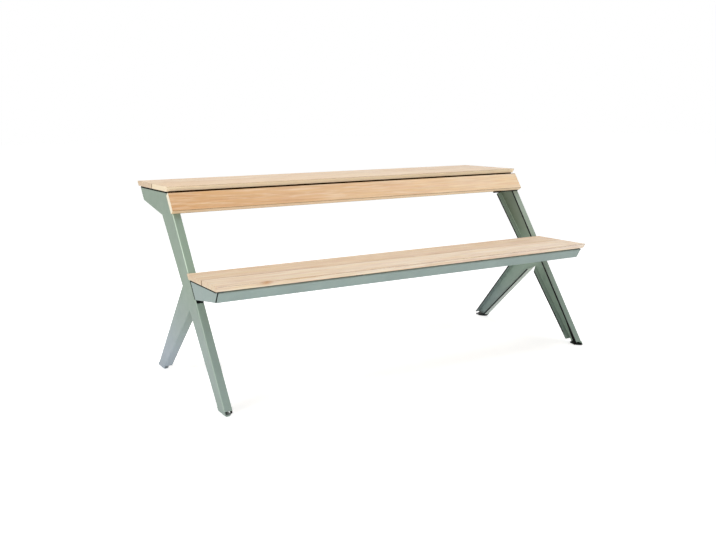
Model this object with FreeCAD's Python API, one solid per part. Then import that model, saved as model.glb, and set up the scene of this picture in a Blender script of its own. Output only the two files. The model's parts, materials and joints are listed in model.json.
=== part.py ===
"""Picnic bench whose backrest carries half a table: two folded steel side frames, a steel seat tray,
steel rails and ribs under solid wood planks, and four levelling feet. Millimetres, +Z up, +X along
the bench, the sitter faces -Y and the table is behind the backrest."""
import FreeCAD, Part
import math
import os
from FreeCAD import Vector

# Overall sizes
bench_length = 1690.0
seat_height = 450.0
table_height = 750.0

# Wood
plank_thickness = 19.5
plank_gap = 5.0
seat_plank_width = 145.0
table_plank_width = 184.5
plank_round = 2.0
edge_lean = 0.74
board_height = 80.0
board_thickness = 23.0
board_round = 4.0
end_overhang = 5.0

# Folded steel
sheet = 3.0
bend = 4.5
flange_depth = 30.5
seam = 0.3
joint_gap = 2.0
relief_gap = 1.0
relief_round = 6.0
flange_end_round = 3.0

# Side frame outline, as lines that lean back by so much per unit of height
limb_lean = 0.696
limb_taper = 0.110
limb_foot_width = 64.5
rear_leg_spread = 727.7
rear_leg_back_lean = 0.883
rear_leg_front_lean = 1.109
rear_leg_foot_width = 70.7
arm_tip_depth = 51.5
arm_root_depth = 91.5
arm_setback = 3.5

# Feet
foot_clearance = 2.5
foot_slot = 11.0
tab_depth = 26.0
tab_corner = 20.0
foot_setback = 14.5
pad_radius = 11.0
pad_sides = 24
stud_radius = 4.0
stud_clearance = 0.1
stud_length = 17.0
insert_radius = 6.0
insert_height = 4.0

# Spacers lift the wood off the steel
spacer_height = 5.0
spacer_width = 22.0
spacer_end_gap = 3.0

# Seat tray
seat_clearance = 2.5
apron_setback = 17.1
apron_height = 38.5
apron_lean = 0.608
apron_inset = 5.0
bracket_rear_depth = 63.5
return_width = 26.0
seat_rail_height = 46.0

# Table carriers
table_front_reach = 38.0
table_front_rail_height = 76.0
table_rear_rail_height = 36.0
board_drop = 9.5

# Cross ribs under the planks
rib_count = 2
rib_width = 40.0
rib_height = 22.0
rib_sheet = 3.0
rib_end_gap = 3.0
pad_length = 22.0
pad_width = 30.0
pad_from_gap = 32.0

# Fasteners
screw_radius = 2.5
screw_hole = 2.7
screw_head_radius = 5.5
screw_head = 3.5
screw_bite = 14.0
bolt_radius = 4.0
bolt_hole = 4.3
bolt_head_radius = 7.4
bolt_head = 5.0
nut_height = 6.5
washer_radius = 8.0
stud_blind = 2.0
bolt_pitch = 30.0
board_screw_pitch = 26.0
screw_from_fold = 18.0

# Levels and half lengths that the sizes above give
wood_end = bench_length / 2
frame_end = wood_end - end_overhang
web_inside = frame_end - sheet
flange_tip = frame_end - flange_depth
carrier_end = flange_tip - 1.0
rail_end = frame_end - bend - seam
seat_steel = seat_height - plank_thickness - spacer_height
table_steel = table_height - plank_thickness - spacer_height
limb_cos = 1 / math.hypot(1, limb_lean)
seat_depth = 2 * seat_plank_width + plank_gap
table_depth = 2 * table_plank_width + plank_gap


def limb_front(z):
    """Front face of the long limb, with y = 0 where it would meet the floor."""
    return limb_lean * z


def limb_rear(z):
    return limb_foot_width + (limb_lean + limb_taper) * z


def leg_rear(z):
    return rear_leg_spread - rear_leg_back_lean * z


def leg_front(z):
    return rear_leg_spread - rear_leg_foot_width - rear_leg_front_lean * z


seat_rear_y = limb_front(seat_height) - seat_clearance
seat_front_y = seat_rear_y - seat_depth
table_front_y = limb_front(table_height) - table_front_reach
table_rear_y = table_front_y + table_depth
apron_top_y = seat_front_y + apron_setback
apron_bottom_z = seat_steel - apron_height
apron_bottom_y = apron_top_y + apron_lean * apron_height
arm_tip_y = table_rear_y - edge_lean * plank_thickness - arm_setback
seat_gap_y = seat_front_y + seat_plank_width + plank_gap / 2
table_gap_y = table_front_y + table_plank_width + plank_gap / 2
rib_pitch = 2 * frame_end / (rib_count + 1)
rib_places = [rib_pitch * (i + 1) - frame_end for i in range(rib_count)]
end_screw_x = frame_end - (sheet + flange_depth) / 2


def rounded_face(corners, radii):
    """Flat face whose corners are arcs of the given radii."""
    count = len(corners)
    edges = []
    ends = []
    for i, corner in enumerate(corners):
        to_last = (corners[i - 1] - corner).normalize()
        to_next = (corners[(i + 1) % count] - corner).normalize()
        radius = radii[i]
        if radius <= 0:
            ends.append((corner, corner))
            continue
        half = to_last.getAngle(to_next) / 2
        reach = radius / math.tan(half)
        bisector = (to_last + to_next).normalize()
        start = corner + to_last * reach
        finish = corner + to_next * reach
        middle = corner + bisector * (radius / math.sin(half) - radius)
        edges.append(Part.Arc(start, middle, finish).toShape())
        ends.append((start, finish))
    for i in range(count):
        start = ends[i][1]
        finish = ends[(i + 1) % count][0]
        if start.distanceToPoint(finish) > 1e-6:
            edges.append(Part.LineSegment(start, finish).toShape())
    return Part.Face(Part.Wire(Part.__sortEdges__(edges)))


def rounded_outline(points, radii):
    """The same from y and z, in the plane x = 0."""
    return rounded_face([Vector(0, y, z) for y, z in points], radii)


def prism(face, x0, x1):
    """The face, drawn at x = 0, as a bar from x0 to x1."""
    bar = face.copy()
    bar.translate(Vector(x0, 0, 0))
    return bar.extrude(Vector(x1 - x0, 0, 0))


def shifted_lines(points, shift, closed):
    """The polygon's corners after each side moves by shift to its right-hand side."""
    count = len(points)
    sides = []
    for i in range(count if closed else count - 1):
        y0, z0 = points[i]
        y1, z1 = points[(i + 1) % count]
        length = math.hypot(y1 - y0, z1 - z0)
        normal = ((z1 - z0) / length, -(y1 - y0) / length)
        sides.append(((y0 + shift * normal[0], z0 + shift * normal[1]), (y1 - y0, z1 - z0)))
    moved = []
    for i in range(count):
        if not closed and i in (0, count - 1):
            start, along = sides[0] if i == 0 else sides[-1]
            moved.append(start if i == 0 else (start[0] + along[0], start[1] + along[1]))
            continue
        (py, pz), (dy, dz) = sides[i - 1]
        (qy, qz), (ey, ez) = sides[i % len(sides)]
        t = ((qy - py) * ez - (qz - pz) * ey) / (dy * ez - dz * ey)
        moved.append((py + t * dy, pz + t * dz))
    return moved


def direction(start, finish):
    length = math.dist(start, finish)
    return (finish[0] - start[0]) / length, (finish[1] - start[1]) / length


def mitre_slope(points, i):
    """Tangent of half the left turn that the outline makes at corner i; negative at an inner corner."""
    ay, az = direction(points[i - 1], points[i])
    by, bz = direction(points[i], points[(i + 1) % len(points)])
    return math.tan(math.atan2(ay * bz - az * by, ay * by + az * bz) / 2)


def fold_end(points, i, ahead):
    """How a flange stops at corner i, on the side ahead of the corner or behind it: the bend's trim,
    its slope inward, the flange's trim, its slope towards the tip and the tip corner's radius."""
    corner = points[i]
    far, near = points[(i + 1) % len(points)], points[i - 1]
    if not ahead:
        far, near = near, far
    if corner[1] > foot_clearance:
        slope = mitre_slope(points, i)
        return (0, slope, 0, 0, 0) if slope > 0 else (0, slope, relief_gap, -slope, relief_round)
    away_y, away_z = direction(corner, far)
    if abs(away_z) < 0.01:
        edge_y, edge_z = direction(corner, near)
        return 0, edge_y / edge_z * away_y, 0, 0, tab_corner
    trim = (sheet + foot_slot) / away_z
    inward_z = away_y if ahead else -away_y
    return trim, -inward_z / away_z, trim, 0, flange_end_round


def fold_along(p0, p1, start, finish):
    """Bend and flange, folded towards +X, along one side of a counter-clockwise outline seen from +X."""
    depth = tab_depth if p0[1] == p1[1] == foot_clearance else flange_depth
    length = math.dist(p0, p1)
    ay, az = direction(p0, p1)

    def at(s, u, h):
        """Point s along the side, u inward and h from the flat face."""
        return Vector(h - frame_end, p0[0] + s * ay - u * az, p0[1] + s * az + u * ay)

    early = -2 * bend
    middle = bend * (1 - math.sqrt(0.5))
    inner_middle = bend - (bend - sheet) * math.sqrt(0.5)
    quarter = Part.Face(Part.Wire([
        Part.Arc(at(early, 0, bend), at(early, middle, middle), at(early, bend, 0)).toShape(),
        Part.LineSegment(at(early, bend, 0), at(early, bend, sheet)).toShape(),
        Part.Arc(at(early, bend, sheet), at(early, inner_middle, inner_middle),
                 at(early, sheet, bend)).toShape(),
        Part.LineSegment(at(early, sheet, bend), at(early, 0, bend)).toShape(),
    ])).extrude((at(1, 0, 0) - at(0, 0, 0)) * (length - 2 * early))
    tip = depth - bend
    flange = rounded_face([
        at(start[2], 0, bend),
        at(length - finish[2], 0, bend),
        at(length - finish[2] - finish[3] * tip, 0, depth),
        at(start[2] + start[3] * tip, 0, depth),
    ], [0, 0, finish[4], start[4]]).extrude((at(0, 1, 0) - at(0, 0, 0)) * sheet)
    wedge = rounded_face([
        at(start[0], 0, 0),
        at(length - finish[0], 0, 0),
        at(length - finish[0] - finish[1] * bend, bend, 0),
        at(start[0] + start[1] * bend, bend, 0),
    ], [0] * 4).extrude(Vector(depth, 0, 0))
    return quarter.fuse(flange).common(wedge)


def folded_plate(points):
    """Flat face at -frame_end with a flange folded towards +X along every side of the outline,
    which runs counter-clockwise seen from +X. Outer corners are mitred and inner ones relieved."""
    count = len(points)
    inside = shifted_lines(points, -bend, True)
    pieces = [prism(rounded_outline(inside, [0] * count), -frame_end, -web_inside)]
    for i in range(count):
        after = (i + 1) % count
        pieces.append(fold_along(points[i], points[after], fold_end(points, i, True),
                                 fold_end(points, after, False)))
    return pieces


def folded_strip(points, x_end):
    """Sheet folded along X; points run along its outer side and the sheet lies to their right."""
    inside = shifted_lines(points, sheet, False)
    loop = points + inside[::-1]
    last = len(points) - 1
    radii = []
    for i in range(len(loop)):
        fold = i if i <= last else len(loop) - 1 - i
        if fold in (0, last):
            radii.append(0)
        else:
            radii.append(bend if i <= last else bend - sheet)
    return prism(rounded_outline(loop, radii), -x_end, x_end)


def mirrored(shape):
    return shape.mirror(Vector(0, 0, 0), Vector(1, 0, 0))


def box(x0, x1, y0, y1, z0, z1):
    return Part.makeBox(x1 - x0, y1 - y0, z1 - z0, Vector(x0, y0, z0))


def upright(radius, x, y, z0, z1):
    return Part.makeCylinder(radius, z1 - z0, Vector(x, y, z0))


def on_limb(x, z, out):
    """Point at height z on the limb's front face, moved out from it by the given distance."""
    return Vector(x, limb_front(z) - out * limb_cos, z + out * limb_cos * limb_lean)


limb_out = Vector(0, -limb_cos, limb_cos * limb_lean)


def hexagon(radius, height, base, axis, sides=6):
    """Hexagonal prism, or one of more sides, of the given corner radius that grows from base along axis."""
    turn = 2 * math.pi / sides
    bar = Part.Face(Part.makePolygon([
        Vector(radius * math.cos(turn * k), radius * math.sin(turn * k), 0)
        for k in range(sides + 1)])).extrude(Vector(0, 0, height))
    bar.Placement = FreeCAD.Placement(base, FreeCAD.Rotation(Vector(0, 0, 1), axis))
    return bar


def bolt(radius, head_radius, head_height, seat, axis, length):
    """Hexagonal head that presses on seat, with its shank, kept six-sided too, going along axis."""
    head = hexagon(head_radius, head_height, seat - axis * head_height, axis)
    return head.fuse(hexagon(radius, length, seat, axis)).removeSplitter()


def nut(radius, head_radius, height, base, axis):
    return hexagon(head_radius, height, base, axis).cut(hexagon(radius, height, base, axis))


def drilled(shape, cutters):
    return shape.cut(Part.makeCompound(cutters)) if cutters else shape


# Where the wood screws stand
seat_screw_rows = [
    apron_top_y + screw_from_fold,
    seat_gap_y - pad_from_gap,
    seat_gap_y + pad_from_gap,
    limb_front(seat_steel) - (2 * sheet + joint_gap + seam) / limb_cos - screw_from_fold,
]
table_front_row = limb_front(table_steel) + (sheet + seam) / limb_cos + screw_from_fold
table_rear_row = arm_tip_y - (sheet + seam) * math.hypot(1, edge_lean) - screw_from_fold
table_screw_rows = [table_front_row, table_gap_y - pad_from_gap, table_gap_y + pad_from_gap, table_rear_row]
screw_places = [-end_screw_x] + rib_places + [end_screw_x]
board_mid_z = table_steel - board_drop - (board_height / 2) * limb_cos
board_screw_heights = [board_mid_z + s * board_screw_pitch / 2 * limb_cos for s in (-1, 1)]
bracket_bolt_mid = seat_steel - (sheet + bracket_rear_depth) / 2
bracket_bolt_heights = [bracket_bolt_mid + s * bolt_pitch / 2 * limb_cos for s in (-1, 1)]


def wood_screw_holes(rows, steel, places=None):
    top = steel + spacer_height + screw_bite
    low = steel - 3 * sheet
    return [hexagon(screw_hole, top + 0.5 - low, Vector(x, y, low), Vector(0, 0, 1))
            for x in places or screw_places for y in rows]


def board_screw_holes():
    """Holes square to the backrest, from behind the rail into the board."""
    start = -(2 * sheet + 3 * seam + sheet)
    length = screw_bite + 0.5 - start
    return [hexagon(screw_hole, length, on_limb(x, z, start), limb_out)
            for x in screw_places for z in board_screw_heights]


def bracket_bolt_holes():
    start = -3 * sheet
    return [hexagon(bolt_hole, 8 * sheet, on_limb(x, z, start), limb_out)
            for x in (-end_screw_x, end_screw_x) for z in bracket_bolt_heights]


def foot_places():
    """Centre of each foot tab: name, x and y."""
    front = (limb_front(foot_clearance) + limb_rear(foot_clearance)) / 2
    rear = (leg_front(foot_clearance) + leg_rear(foot_clearance)) / 2
    x = frame_end - foot_setback
    return [("front_left", -x, front), ("front_right", x, front),
            ("rear_left", -x, rear), ("rear_right", x, rear)]


def frame_outline():
    """Lambda-shaped side: front foot, rear leg off the back of the long limb, and the table arm."""
    bottom = foot_clearance
    arm_under = table_steel - arm_root_depth
    arm_tip_z = table_steel - arm_tip_depth
    fork_rear_z = (rear_leg_spread - limb_foot_width) / (limb_lean + limb_taper + rear_leg_back_lean)
    fork_under_z = ((rear_leg_spread - rear_leg_foot_width - limb_foot_width)
                    / (limb_lean + limb_taper + rear_leg_front_lean))
    return [
        (limb_front(bottom), bottom),
        (limb_rear(bottom), bottom),
        (limb_rear(fork_under_z), fork_under_z),
        (leg_front(bottom), bottom),
        (leg_rear(bottom), bottom),
        (limb_rear(fork_rear_z), fork_rear_z),
        (limb_rear(arm_under), arm_under),
        (arm_tip_y - edge_lean * arm_tip_depth, arm_tip_z),
        (arm_tip_y, table_steel),
        (limb_front(table_steel), table_steel),
    ]


def ankle(front, rear):
    """Flat, unbent end of a leg between the foot tab's bend and the slot's top."""
    low = foot_clearance + bend
    high = foot_clearance + sheet + foot_slot
    face = rounded_outline([(front(low), low), (rear(low), low), (rear(high), high), (front(high), high)], [0] * 4)
    return prism(face, -frame_end, -web_inside)


def side_frame():
    pieces = folded_plate(frame_outline()) + [ankle(limb_front, limb_rear), ankle(leg_front, leg_rear)]
    frame = pieces[0].fuse(pieces[1:]).removeSplitter()
    bottom = foot_clearance
    cutters = []
    for _, x, y in foot_places():
        if x < 0:
            cutters.append(hexagon(insert_radius, sheet + 2, Vector(x, y, bottom - 1), Vector(0, 0, 1)))
    cutters += wood_screw_holes(table_screw_rows, table_steel, [-end_screw_x])
    cutters += board_screw_holes()
    cutters += bracket_bolt_holes()
    cutters.append(rear_rail_bolt_hole(-1))
    return drilled(frame, cutters)


def arm_end_axis():
    """Outward normal of the arm's end face."""
    return Vector(0, 1, -edge_lean).normalize()


def rear_rail_bolt_seat(side):
    """Point on the arm's end face where the rear rail is bolted."""
    drop = (sheet + table_rear_rail_height) / 2 + sheet
    return Vector(side * end_screw_x, arm_tip_y - edge_lean * drop, table_steel - drop)


def rear_rail_bolt_hole(side):
    axis = arm_end_axis()
    return hexagon(screw_hole, 6 * sheet, rear_rail_bolt_seat(side) - axis * 4 * sheet, axis)


def apron_face(z, behind):
    """y of the plane that lies the given distance behind the apron's front face."""
    return apron_top_y + apron_lean * (seat_steel - z) + behind * math.hypot(1, apron_lean)


def bracket_outline():
    """End bracket of the seat: deep at the limb, shallow at the apron."""
    behind = sheet + joint_gap
    rear_low = seat_steel - bracket_rear_depth
    gap = joint_gap / limb_cos
    return [
        (apron_face(apron_bottom_z, behind), apron_bottom_z),
        (limb_front(rear_low) - gap, rear_low),
        (limb_front(seat_steel) - gap, seat_steel),
        (apron_face(seat_steel, behind), seat_steel),
    ]


def seat_bracket():
    holes = wood_screw_holes(seat_screw_rows, seat_steel, [-end_screw_x])
    holes += bracket_bolt_holes()
    holes += apron_stud_holes(-1)
    pieces = folded_plate(bracket_outline())
    return drilled(pieces[0].fuse(pieces[1:]).removeSplitter(), holes)


def apron_stud_axis():
    return Vector(0, -1, -apron_lean).normalize()


def apron_stud_seat(side):
    """Point on the bracket's front flange, inside the tray, where the apron's nut sits."""
    z = (seat_steel + apron_bottom_z) / 2
    return Vector(side * end_screw_x, apron_face(z, 2 * sheet + joint_gap), z)


def apron_stud_holes(side):
    axis = apron_stud_axis()
    return [hexagon(screw_hole, sheet + joint_gap + stud_blind + 1, apron_stud_seat(side) - axis, axis)]


def without_ends(shape, z0, z1):
    """Takes the sheet between z0 and z1 off both ends, where the end flanges lie."""
    reach = bench_length
    ends = [box(-reach, -carrier_end, -reach, reach, z0, z1), box(carrier_end, reach, -reach, reach, z0, z1)]
    return drilled(shape, ends)


def seat_apron():
    bracket_fall = (bracket_rear_depth - apron_height) / (limb_front(seat_steel - bracket_rear_depth)
                                                          - apron_bottom_y)
    low = (apron_bottom_y + return_width, apron_bottom_z - bracket_fall * return_width)
    points = [low, (apron_bottom_y, apron_bottom_z), (apron_top_y, seat_steel),
              (apron_top_y + return_width, seat_steel)]
    strip = folded_strip(points, frame_end - apron_inset)
    behind = apron_face(seat_steel, sheet + seam / 2) - apron_top_y
    reach = bench_length
    face_cut = prism(rounded_outline([
        (apron_face(apron_bottom_z - reach, sheet + seam / 2), apron_bottom_z - reach),
        (apron_top_y + behind - apron_lean * reach, seat_steel + reach),
        (apron_top_y + reach, seat_steel + reach),
        (apron_top_y + reach, apron_bottom_z - reach)], [0, 0, 0, 0]), carrier_end, reach)
    cutters = [face_cut, mirrored(face_cut)]
    cutters += wood_screw_holes(seat_screw_rows[:1], seat_steel)
    cutters += apron_stud_holes(-1) + apron_stud_holes(1)
    return drilled(strip, cutters)


def seat_rear_rail():
    """Channel across the bench in front of the brackets' rear flanges."""
    behind = (joint_gap + sheet + seam) / limb_cos
    low = seat_steel - seat_rail_height
    points = [
        (limb_front(seat_steel) - behind - return_width, seat_steel),
        (limb_front(seat_steel) - behind, seat_steel),
        (limb_front(low) - behind, low),
        (limb_front(low) - behind - return_width * 0.7, low),
    ]
    strip = without_ends(folded_strip(points, rail_end), seat_steel - sheet - 1.0, seat_steel + 1)
    strip = without_ends(strip, low - 1, low + sheet + 1.0)
    return drilled(strip, wood_screw_holes(seat_screw_rows[3:], seat_steel) + bracket_bolt_holes())


def table_front_rail():
    """Channel behind the backrest board and the limbs' front flanges."""
    ahead = (sheet + seam) / limb_cos
    low = table_steel - table_front_rail_height
    points = [
        (limb_front(low) + ahead + return_width * 0.7, low),
        (limb_front(low) + ahead, low),
        (limb_front(table_steel) + ahead, table_steel),
        (limb_front(table_steel) + ahead + return_width, table_steel),
    ]
    strip = without_ends(folded_strip(points, rail_end), table_steel - sheet - 1.0, table_steel + 1)
    return drilled(strip, wood_screw_holes(table_screw_rows[:1], table_steel) + board_screw_holes())


def table_rear_rail():
    """Channel inside the arms' end flanges."""
    behind = (sheet + seam) * math.hypot(1, edge_lean)
    low = table_steel - table_rear_rail_height
    points = [
        (arm_tip_y - behind - return_width, table_steel),
        (arm_tip_y - behind, table_steel),
        (arm_tip_y - behind - edge_lean * table_rear_rail_height, low),
        (arm_tip_y - behind - edge_lean * table_rear_rail_height - return_width * 0.6, low),
    ]
    strip = without_ends(folded_strip(points, rail_end), table_steel - sheet - 1.0, table_steel + 1)
    holes = wood_screw_holes(table_screw_rows[3:], table_steel)
    holes += [rear_rail_bolt_hole(-1), rear_rail_bolt_hole(1)]
    return drilled(strip, holes)


def cross_rib(x, front, rear, steel, rows):
    """Upturned channel whose ends follow the two carriers; front and rear give y for a height."""
    top = steel - sheet
    low = top - rib_height
    faces = [(front(low), low), (front(top), top), (rear(top), top), (rear(low), low)]
    bar = prism(rounded_outline(faces, [0, 0, 0, 0]), x - rib_width / 2, x + rib_width / 2)
    inner_half = rib_width / 2 - rib_sheet
    hollow = box(x - inner_half, x + inner_half, -bench_length, bench_length, low - 1, top - rib_sheet)
    channel = bar.cut(hollow)
    folds = [e for e in channel.Edges if e.BoundBox.YLength > rib_width and e.BoundBox.ZMin > top - 0.1]
    channel = channel.makeFillet(bend, [e for e in folds if abs(e.BoundBox.XMin - x) > inner_half])
    return drilled(channel, wood_screw_holes(rows, steel, [x]))


def seat_rib(x):
    return cross_rib(x, lambda z: apron_face(z, sheet) + rib_end_gap,
                     lambda z: limb_front(z) - (2 * sheet + joint_gap + seam) / limb_cos - rib_end_gap,
                     seat_steel, seat_screw_rows)


def table_rib(x):
    rear_in = (2 * sheet + seam) * math.hypot(1, edge_lean)
    return cross_rib(x, lambda z: limb_front(z) + (2 * sheet + seam) / limb_cos + rib_end_gap,
                     lambda z: arm_tip_y - edge_lean * (table_steel - z) - rear_in - rib_end_gap,
                     table_steel, table_screw_rows)


def plank(front, rear, top, front_slope, rear_slope, rows, steel):
    """Plank from front to rear at its top face; a slope undercuts that long edge."""
    low = top - plank_thickness
    points = [
        (front + front_slope * plank_thickness, low),
        (front, top),
        (rear, top),
        (rear - rear_slope * plank_thickness, low),
    ]
    bar = prism(rounded_outline(points, [0, plank_round, plank_round, 0]), -wood_end, wood_end)
    return drilled(bar, wood_screw_holes(rows, steel))


def seat_planks():
    front = plank(seat_front_y, seat_gap_y - plank_gap / 2, seat_height, edge_lean, 0,
                  seat_screw_rows[:2], seat_steel)
    rear = plank(seat_gap_y + plank_gap / 2, seat_rear_y, seat_height, 0, limb_lean,
                 seat_screw_rows[2:], seat_steel)
    return {"seat_plank_front": front, "seat_plank_rear": rear}


def table_planks():
    front = plank(table_front_y, table_gap_y - plank_gap / 2, table_height, edge_lean, 0,
                  table_screw_rows[:2], table_steel)
    rear = plank(table_gap_y + plank_gap / 2, table_rear_y, table_height, 0, edge_lean,
                 table_screw_rows[2:], table_steel)
    return {"table_plank_front": front, "table_plank_rear": rear}


def backrest_board():
    """Board that lies on the limbs' front faces."""
    half = board_height / 2 * limb_cos
    low = on_limb(0, board_mid_z - half, 0)
    high = on_limb(0, board_mid_z + half, 0)
    out = limb_out * board_thickness
    points = [(p.y, p.z) for p in (low, low + out, high + out, high)]
    bar = prism(rounded_outline(points, [board_round] * 4), -wood_end, wood_end)
    return drilled(bar, board_screw_holes())


def spacer_bars(rows, steel, spans):
    """Strips on the end flanges under each plank, and pads on the rails and ribs."""
    bars = []
    for side in (-1, 1):
        x = side * end_screw_x
        for start, end in spans:
            bars.append(box(x - spacer_width / 2, x + spacer_width / 2, start, end, steel, steel + spacer_height))
    for x in rib_places:
        for i, y in enumerate(rows):
            low = steel if i in (0, len(rows) - 1) else steel - sheet
            bars.append(box(x - pad_width / 2, x + pad_width / 2, y - pad_length / 2, y + pad_length / 2,
                            low, steel + spacer_height))
    holes = wood_screw_holes(rows, steel)
    return Part.makeCompound([drilled(bar, holes) for bar in bars])


def seat_spacers():
    cut = plank_gap / 2 + spacer_end_gap
    spans = [(apron_face(seat_steel, sheet + joint_gap) + bend, seat_gap_y - cut),
             (seat_gap_y + cut, limb_front(seat_steel) - bend - joint_gap / limb_cos)]
    return spacer_bars(seat_screw_rows, seat_steel, spans)


def table_spacers():
    cut = plank_gap / 2 + spacer_end_gap
    spans = [(limb_front(table_steel) + bend, table_gap_y - cut), (table_gap_y + cut, arm_tip_y - bend)]
    return spacer_bars(table_screw_rows, table_steel, spans)


def board_washers():
    """Distance nuts that fill the gap between the front rail and the board away from the limbs."""
    rings = []
    for x in rib_places:
        for z in board_screw_heights:
            start = on_limb(x, z, -(sheet + seam))
            rings.append(nut(screw_hole, washer_radius, sheet + seam, start, limb_out))
    return Part.makeCompound(rings)


def wood_screws(rows, steel):
    """Screws that come up from under the steel into the planks."""
    screws = []
    up = Vector(0, 0, 1)
    tip = steel + spacer_height + screw_bite
    for x in screw_places:
        under = steel - sheet if abs(x) > carrier_end else steel - sheet - rib_sheet
        for y in rows:
            screws.append(bolt(screw_radius, screw_head_radius, screw_head, Vector(x, y, under), up, tip - under))
    return Part.makeCompound(screws)


def board_screws():
    """Screws from behind the front rail, through it and the limb's flange, into the board."""
    depth = 2 * sheet + seam
    return Part.makeCompound([
        bolt(screw_radius, screw_head_radius, screw_head, on_limb(x, z, -depth), limb_out, depth + screw_bite)
        for x in screw_places for z in board_screw_heights])


def bracket_bolts():
    """Bolts from inside the limb's channel, through limb, bracket and rail."""
    grip = 3 * sheet + joint_gap + seam
    return Part.makeCompound([
        bolt(bolt_radius, bolt_head_radius, bolt_head, on_limb(x, z, -sheet), limb_out, grip + nut_height + 1)
        for x in (-end_screw_x, end_screw_x) for z in bracket_bolt_heights])


def bracket_nuts():
    out = 2 * sheet + joint_gap + seam
    nuts = []
    for x in (-end_screw_x, end_screw_x):
        for z in bracket_bolt_heights:
            nuts.append(nut(bolt_hole, bolt_head_radius, nut_height, on_limb(x, z, out), limb_out))
    return Part.makeCompound(nuts)


def apron_studs():
    """Nuts on short studs that hold the apron to the brackets from inside."""
    axis = apron_stud_axis()
    return Part.makeCompound([
        bolt(screw_radius, screw_head_radius, screw_head, apron_stud_seat(side), axis,
             sheet + joint_gap + stud_blind)
        for side in (-1, 1)])


def joint_washers():
    """Washers that keep the brackets off the limbs and the apron off the brackets."""
    thickness = joint_gap - 2 * seam
    washers = [nut(bolt_hole, washer_radius, thickness, on_limb(x, z, seam), limb_out)
               for x in (-end_screw_x, end_screw_x) for z in bracket_bolt_heights]
    axis = apron_stud_axis()
    for side in (-1, 1):
        base = apron_stud_seat(side) + axis * (sheet + seam)
        washers.append(nut(screw_hole, washer_radius, thickness, base, axis))
    return Part.makeCompound(washers)


def rear_rail_bolts():
    """Bolts through the arms' end flanges into the rear rail, nuts inside."""
    axis = arm_end_axis()
    bolts = []
    for side in (-1, 1):
        seat = rear_rail_bolt_seat(side)
        shank = bolt(screw_radius, screw_head_radius, screw_head, seat, axis * -1, 2 * sheet + seam + nut_height)
        bolts.append(shank)
    return Part.makeCompound(bolts)


def rear_rail_nuts():
    axis = arm_end_axis() * -1
    nuts = []
    for side in (-1, 1):
        base = rear_rail_bolt_seat(side) + axis * (2 * sheet + seam)
        nuts.append(nut(screw_hole, screw_head_radius, screw_head, base, axis))
    return Part.makeCompound(nuts)


def foot_inserts():
    """Hexagonal nuts pressed into the foot tabs, with a bore for the foot's stud."""
    bottom = foot_clearance
    up = Vector(0, 0, 1)
    inserts = []
    for _, x, y in foot_places():
        body = hexagon(insert_radius, sheet + insert_height, Vector(x, y, bottom), up)
        bore = upright(stud_radius + stud_clearance, x, y, bottom - 1, bottom + sheet + insert_height + 1)
        inserts.append(body.cut(bore))
    return Part.makeCompound(inserts)


def levelling_foot(name, x, y):
    """Low round glide bonded to its stud and screwed right in."""
    pad_top = foot_clearance - seam
    pad = hexagon(pad_radius, pad_top, Vector(x, y, 0), Vector(0, 0, 1), pad_sides)
    stud = upright(stud_radius, x, y, pad_top, foot_clearance + stud_length)
    return {f"foot_pad_{name}": pad, f"foot_stud_{name}": stud}


def all_parts():
    frame = side_frame()
    bracket = seat_bracket()
    parts = {
        "side_frame_left": frame,
        "side_frame_right": mirrored(frame),
        "seat_bracket_left": bracket,
        "seat_bracket_right": mirrored(bracket),
        "seat_apron": seat_apron(),
        "seat_rear_rail": seat_rear_rail(),
        "table_front_rail": table_front_rail(),
        "table_rear_rail": table_rear_rail(),
    }
    for i, x in enumerate(rib_places):
        parts[f"seat_rib_{i + 1}"] = seat_rib(x)
        parts[f"table_rib_{i + 1}"] = table_rib(x)
    parts.update(seat_planks())
    parts.update(table_planks())
    parts["backrest_board"] = backrest_board()
    parts["seat_spacers"] = seat_spacers()
    parts["table_spacers"] = table_spacers()
    parts["board_washers"] = board_washers()
    parts["seat_screws"] = wood_screws(seat_screw_rows, seat_steel)
    parts["table_screws"] = wood_screws(table_screw_rows, table_steel)
    parts["board_screws"] = board_screws()
    parts["bracket_bolts"] = bracket_bolts()
    parts["bracket_nuts"] = bracket_nuts()
    parts["apron_studs"] = apron_studs()
    parts["joint_washers"] = joint_washers()
    parts["rear_rail_bolts"] = rear_rail_bolts()
    parts["rear_rail_nuts"] = rear_rail_nuts()
    parts["foot_inserts"] = foot_inserts()
    for name, x, y in foot_places():
        parts.update(levelling_foot(name, x, y))
    return parts


def main():
    os.makedirs("parts", exist_ok=True)
    parts = all_parts()
    whole = Part.makeCompound(list(parts.values())).BoundBox
    to_middle = Vector(0, -(whole.YMin + whole.YMax) / 2, 0)
    for name, shape in parts.items():
        shape.translate(to_middle)
        shape.exportStep(f"parts/{name}.step")
    print("length", round(whole.XLength, 2), "depth", round(whole.YLength, 2), "height", round(whole.ZMax, 2))
    print("profile y = 0 now lies at", round(to_middle.y, 3))


main()
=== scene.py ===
import json
import math
import bmesh
import bpy
from mathutils import Matrix, Vector


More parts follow.
